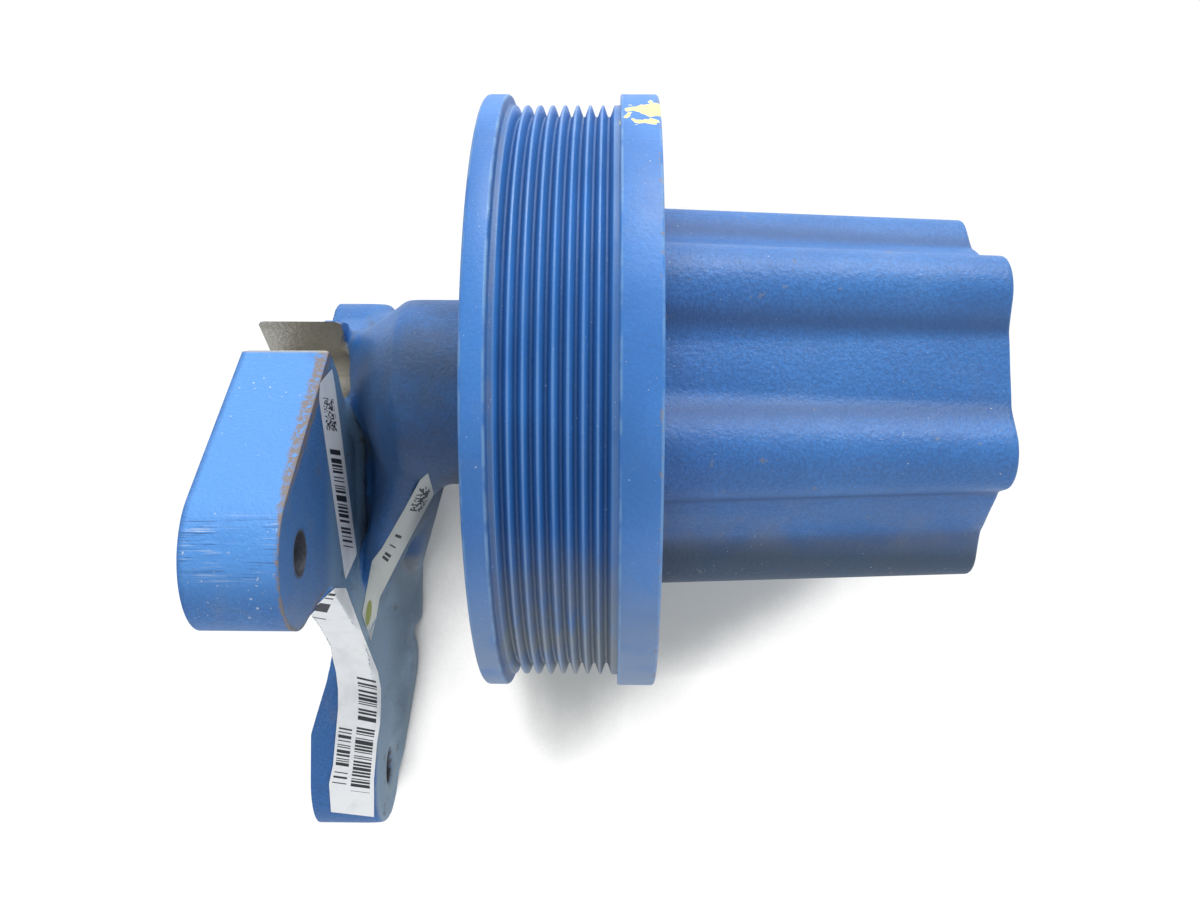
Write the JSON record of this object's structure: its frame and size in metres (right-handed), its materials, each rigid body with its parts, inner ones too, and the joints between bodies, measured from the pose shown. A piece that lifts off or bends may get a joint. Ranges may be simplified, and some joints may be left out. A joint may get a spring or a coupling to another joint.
{
  "type": "fan drive hub",
  "caption": "Ribbed belt pulley with a long fluted nose, turning on ball bearings on a footed cast support bracket; carries an engine fan.",
  "frame": {"origin": "on the hub axis, in the plane of the front foot's mounting face", "axes": "+X along the hub axis towards the nose; +Y up the bracket from the lower foot to the hub; +Z away from the bracket's rear edge, which the part lies on with its pulley rim"},
  "size_m": [0.215, 0.2386, 0.174],
  "materials": {
    "bracket_paint": "blue paint over a cast skin, some bare machined faces",
    "hub_paint": "blue paint over a cast and turned skin",
    "machined_steel": "ground",
    "bearing_steel": "polished",
    "pressed_steel": "satin",
    "black_steel": "phosphated",
    "seal_rubber": "matte",
    "cage_polymer": "glass-filled polyamide"
  },
  "bodies": {
    "bracket": {"support_bracket": "bracket_paint", "spindle": "machined_steel", "wear_sleeve": "machined_steel", "rear_bearing_inner": "bearing_steel", "front_bearing_inner": "bearing_steel", "bearing_spacer": "machined_steel", "lock_washer": "pressed_steel", "lock_nut": "black_steel"},
    "rotor": {"pulley_hub": "hub_paint", "rear_bearing_outer": "bearing_steel", "front_bearing_outer": "bearing_steel", "rear_bearing_shields": "pressed_steel", "front_bearing_shields": "pressed_steel", "seal_case": "pressed_steel", "seal_lip": "seal_rubber", "garter_spring": "machined_steel", "rear_snap_ring": "black_steel", "front_snap_ring": "black_steel", "end_cap": "pressed_steel"},
    "rear_cage": {"rear_bearing_balls": "bearing_steel", "rear_bearing_cage": "cage_polymer"},
    "front_cage": {"front_bearing_balls": "bearing_steel", "front_bearing_cage": "cage_polymer"}
  },
  "joints": [
    {"name": "hub_spin", "type": "hinge", "parent": "bracket", "child": "rotor", "pos_m": [0.1, 0, 0], "axis": [1, 0, 0], "continuous": true},
    {"name": "rear_cage_orbit", "type": "hinge", "parent": "bracket", "child": "rear_cage", "pos_m": [0.1065, 0, 0], "axis": [1, 0, 0], "continuous": true},
    {"name": "front_cage_orbit", "type": "hinge", "parent": "bracket", "child": "front_cage", "pos_m": [0.178, 0, 0], "axis": [1, 0, 0], "continuous": true}
  ],
  "couplings": [
    {"joint": "rear_cage_orbit", "follows": "hub_spin", "ratio": 0.6174},
    {"joint": "front_cage_orbit", "follows": "hub_spin", "ratio": 0.6033}
  ]
}
